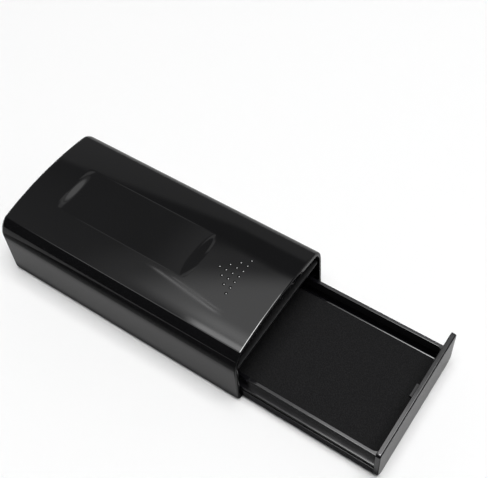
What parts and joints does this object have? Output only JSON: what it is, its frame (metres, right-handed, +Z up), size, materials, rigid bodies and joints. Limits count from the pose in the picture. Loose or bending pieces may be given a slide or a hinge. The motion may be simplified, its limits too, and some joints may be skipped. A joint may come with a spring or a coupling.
{
  "type": "magnetic key holder",
  "caption": "Crowned black case that clings to steel by magnets under its roof, with an open drawer for a car key sliding out of one end.",
  "frame": {"origin": "middle of the sleeve's flat underside", "axes": "+X along the drawer's travel, out of the mouth; +Z up through the crowned roof; Y across; the drawer stands 54.8 mm out at rest, as in the picture"},
  "size_m": [0.1688, 0.058, 0.0323],
  "materials": {
    "case_plastic": "polished black ABS",
    "drawer_plastic": "glossy black ABS",
    "inner_plastic": "fine matt black ABS",
    "magnet_plating": "nickel plating",
    "plate_steel": "rolled steel",
    "soft_foam": "fine-celled black foam"
  },
  "bodies": {
    "sleeve": {"sleeve_shell": "case_plastic", "magnet_deck": "inner_plastic", "front_magnet": "magnet_plating", "rear_magnet": "magnet_plating", "steel_plate": "plate_steel", "magnet_foam": "soft_foam"},
    "drawer": {"drawer_tray": "drawer_plastic", "fob_liner": "soft_foam"}
  },
  "joints": [
    {"name": "drawer_slide", "type": "slide", "parent": "sleeve", "child": "drawer", "axis": [1, 0, 0], "range_m": [-0.0546, 0.026]}
  ]
}
